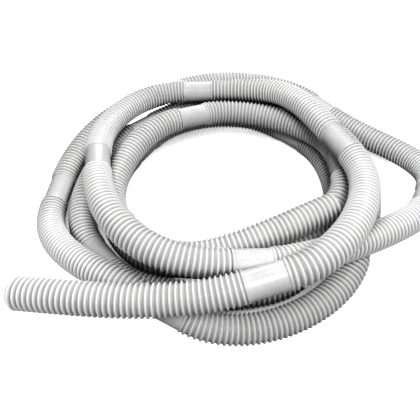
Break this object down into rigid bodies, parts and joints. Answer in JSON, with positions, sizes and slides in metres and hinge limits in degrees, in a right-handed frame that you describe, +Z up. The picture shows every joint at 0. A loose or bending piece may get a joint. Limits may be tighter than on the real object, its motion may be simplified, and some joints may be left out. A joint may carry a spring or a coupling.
{
  "type": "vacuum hose",
  "caption": "Corrugated suction hose in lengths joined by smooth cuffs, lying in a loose coil; both cut ends bend up and sideways in short rigid segments.",
  "frame": {"origin": "on the floor under the middle of the box round the coiled hose", "axes": "+Z up from the floor, +X to the right of the viewer, +Y away from the viewer; the outer end leaves towards -X along the front"},
  "size_m": [0.7192, 0.657, 0.1665],
  "materials": {
    "hose_wall": "off-white ribbed polyethylene wall, satin, with the grooves slightly greyer",
    "cuff": "smooth white polyethylene sleeve, satin to semi-gloss"
  },
  "bodies": {
    "coil": {"free_tail_segment_1": "hose_wall", "outer_tail_segment_1": "hose_wall", "hose_length_01": "hose_wall", "hose_length_02": "hose_wall", "hose_length_03": "hose_wall", "hose_length_04": "hose_wall", "hose_length_05": "hose_wall", "hose_length_06": "hose_wall", "hose_length_07": "hose_wall", "hose_length_08": "hose_wall", "hose_length_09": "hose_wall", "hose_length_10": "hose_wall", "hose_length_11": "hose_wall", "hose_length_12": "hose_wall", "hose_length_13": "hose_wall", "hose_length_14": "hose_wall", "hose_length_15": "hose_wall", "hose_length_16": "hose_wall", "hose_length_17": "hose_wall", "hose_length_18": "hose_wall", "hose_length_19": "hose_wall", "hose_length_20": "hose_wall", "joiner_cuff_01": "cuff", "joiner_cuff_02": "cuff", "joiner_cuff_03": "cuff", "joiner_cuff_04": "cuff", "joiner_cuff_05": "cuff", "joiner_cuff_06": "cuff", "joiner_cuff_07": "cuff", "joiner_cuff_08": "cuff", "joiner_cuff_09": "cuff", "joiner_cuff_10": "cuff", "joiner_cuff_11": "cuff", "joiner_cuff_12": "cuff", "joiner_cuff_13": "cuff", "joiner_cuff_14": "cuff", "joiner_cuff_15": "cuff", "joiner_cuff_16": "cuff", "joiner_cuff_17": "cuff", "joiner_cuff_18": "cuff", "joiner_cuff_19": "cuff", "joiner_cuff_20": "cuff", "joiner_cuff_21": "cuff"},
    "free_tail_2": {"free_tail_segment_2": "hose_wall"},
    "free_tail_3": {"free_tail_segment_3": "hose_wall"},
    "free_tail_4": {"free_tail_segment_4": "hose_wall"},
    "outer_tail_2": {"outer_tail_segment_2": "hose_wall"},
    "outer_tail_3": {"outer_tail_segment_3": "hose_wall"},
    "outer_tail_4": {"outer_tail_segment_4": "hose_wall"},
    "outer_tail_5": {"outer_tail_segment_5": "hose_wall"}
  },
  "joints": [
    {"name": "free_tail_lift_near", "type": "hinge", "parent": "coil", "child": "free_tail_2", "pos_m": [-0.03842, -0.20944, 0.08942], "axis": [0.2296, -0.9733, 0], "range_deg": [0, 15]},
    {"name": "free_tail_swing", "type": "hinge", "parent": "free_tail_2", "child": "free_tail_3", "pos_m": [0.01822, -0.19106, 0.09643], "axis": [0.1539, -0.6302, 0.761], "range_deg": [0, 15]},
    {"name": "free_tail_lift_far", "type": "hinge", "parent": "free_tail_3", "child": "free_tail_4", "pos_m": [0.07299, -0.16752, 0.10316], "axis": [0.4118, -0.9113, 0], "range_deg": [0, 15]},
    {"name": "outer_tail_lift_near", "type": "hinge", "parent": "coil", "child": "outer_tail_2", "pos_m": [-0.07797, -0.30403, 0.11586], "axis": [-0.0798, 0.9968, 0], "range_deg": [0, 15]},
    {"name": "outer_tail_swing_near", "type": "hinge", "parent": "outer_tail_2", "child": "outer_tail_3", "pos_m": [-0.13771, -0.30575, 0.11092], "axis": [-0.062, 0.0011, 0.9981], "range_deg": [-15, 15]},
    {"name": "outer_tail_lift_far", "type": "hinge", "parent": "outer_tail_3", "child": "outer_tail_4", "pos_m": [-0.1975, -0.30228, 0.10752], "axis": [0.0943, 0.9955, 0], "range_deg": [0, 15]},
    {"name": "outer_tail_swing_far", "type": "hinge", "parent": "outer_tail_4", "child": "outer_tail_5", "pos_m": [-0.25686, -0.29486, 0.10299], "axis": [-0.0983, 0.015, 0.995], "range_deg": [-15, 15]}
  ],
  "couplings": [
    {"joint": "free_tail_lift_far", "follows": "free_tail_lift_near", "ratio": 1},
    {"joint": "outer_tail_lift_far", "follows": "outer_tail_lift_near", "ratio": 1},
    {"joint": "outer_tail_swing_far", "follows": "outer_tail_swing_near", "ratio": 1}
  ]
}
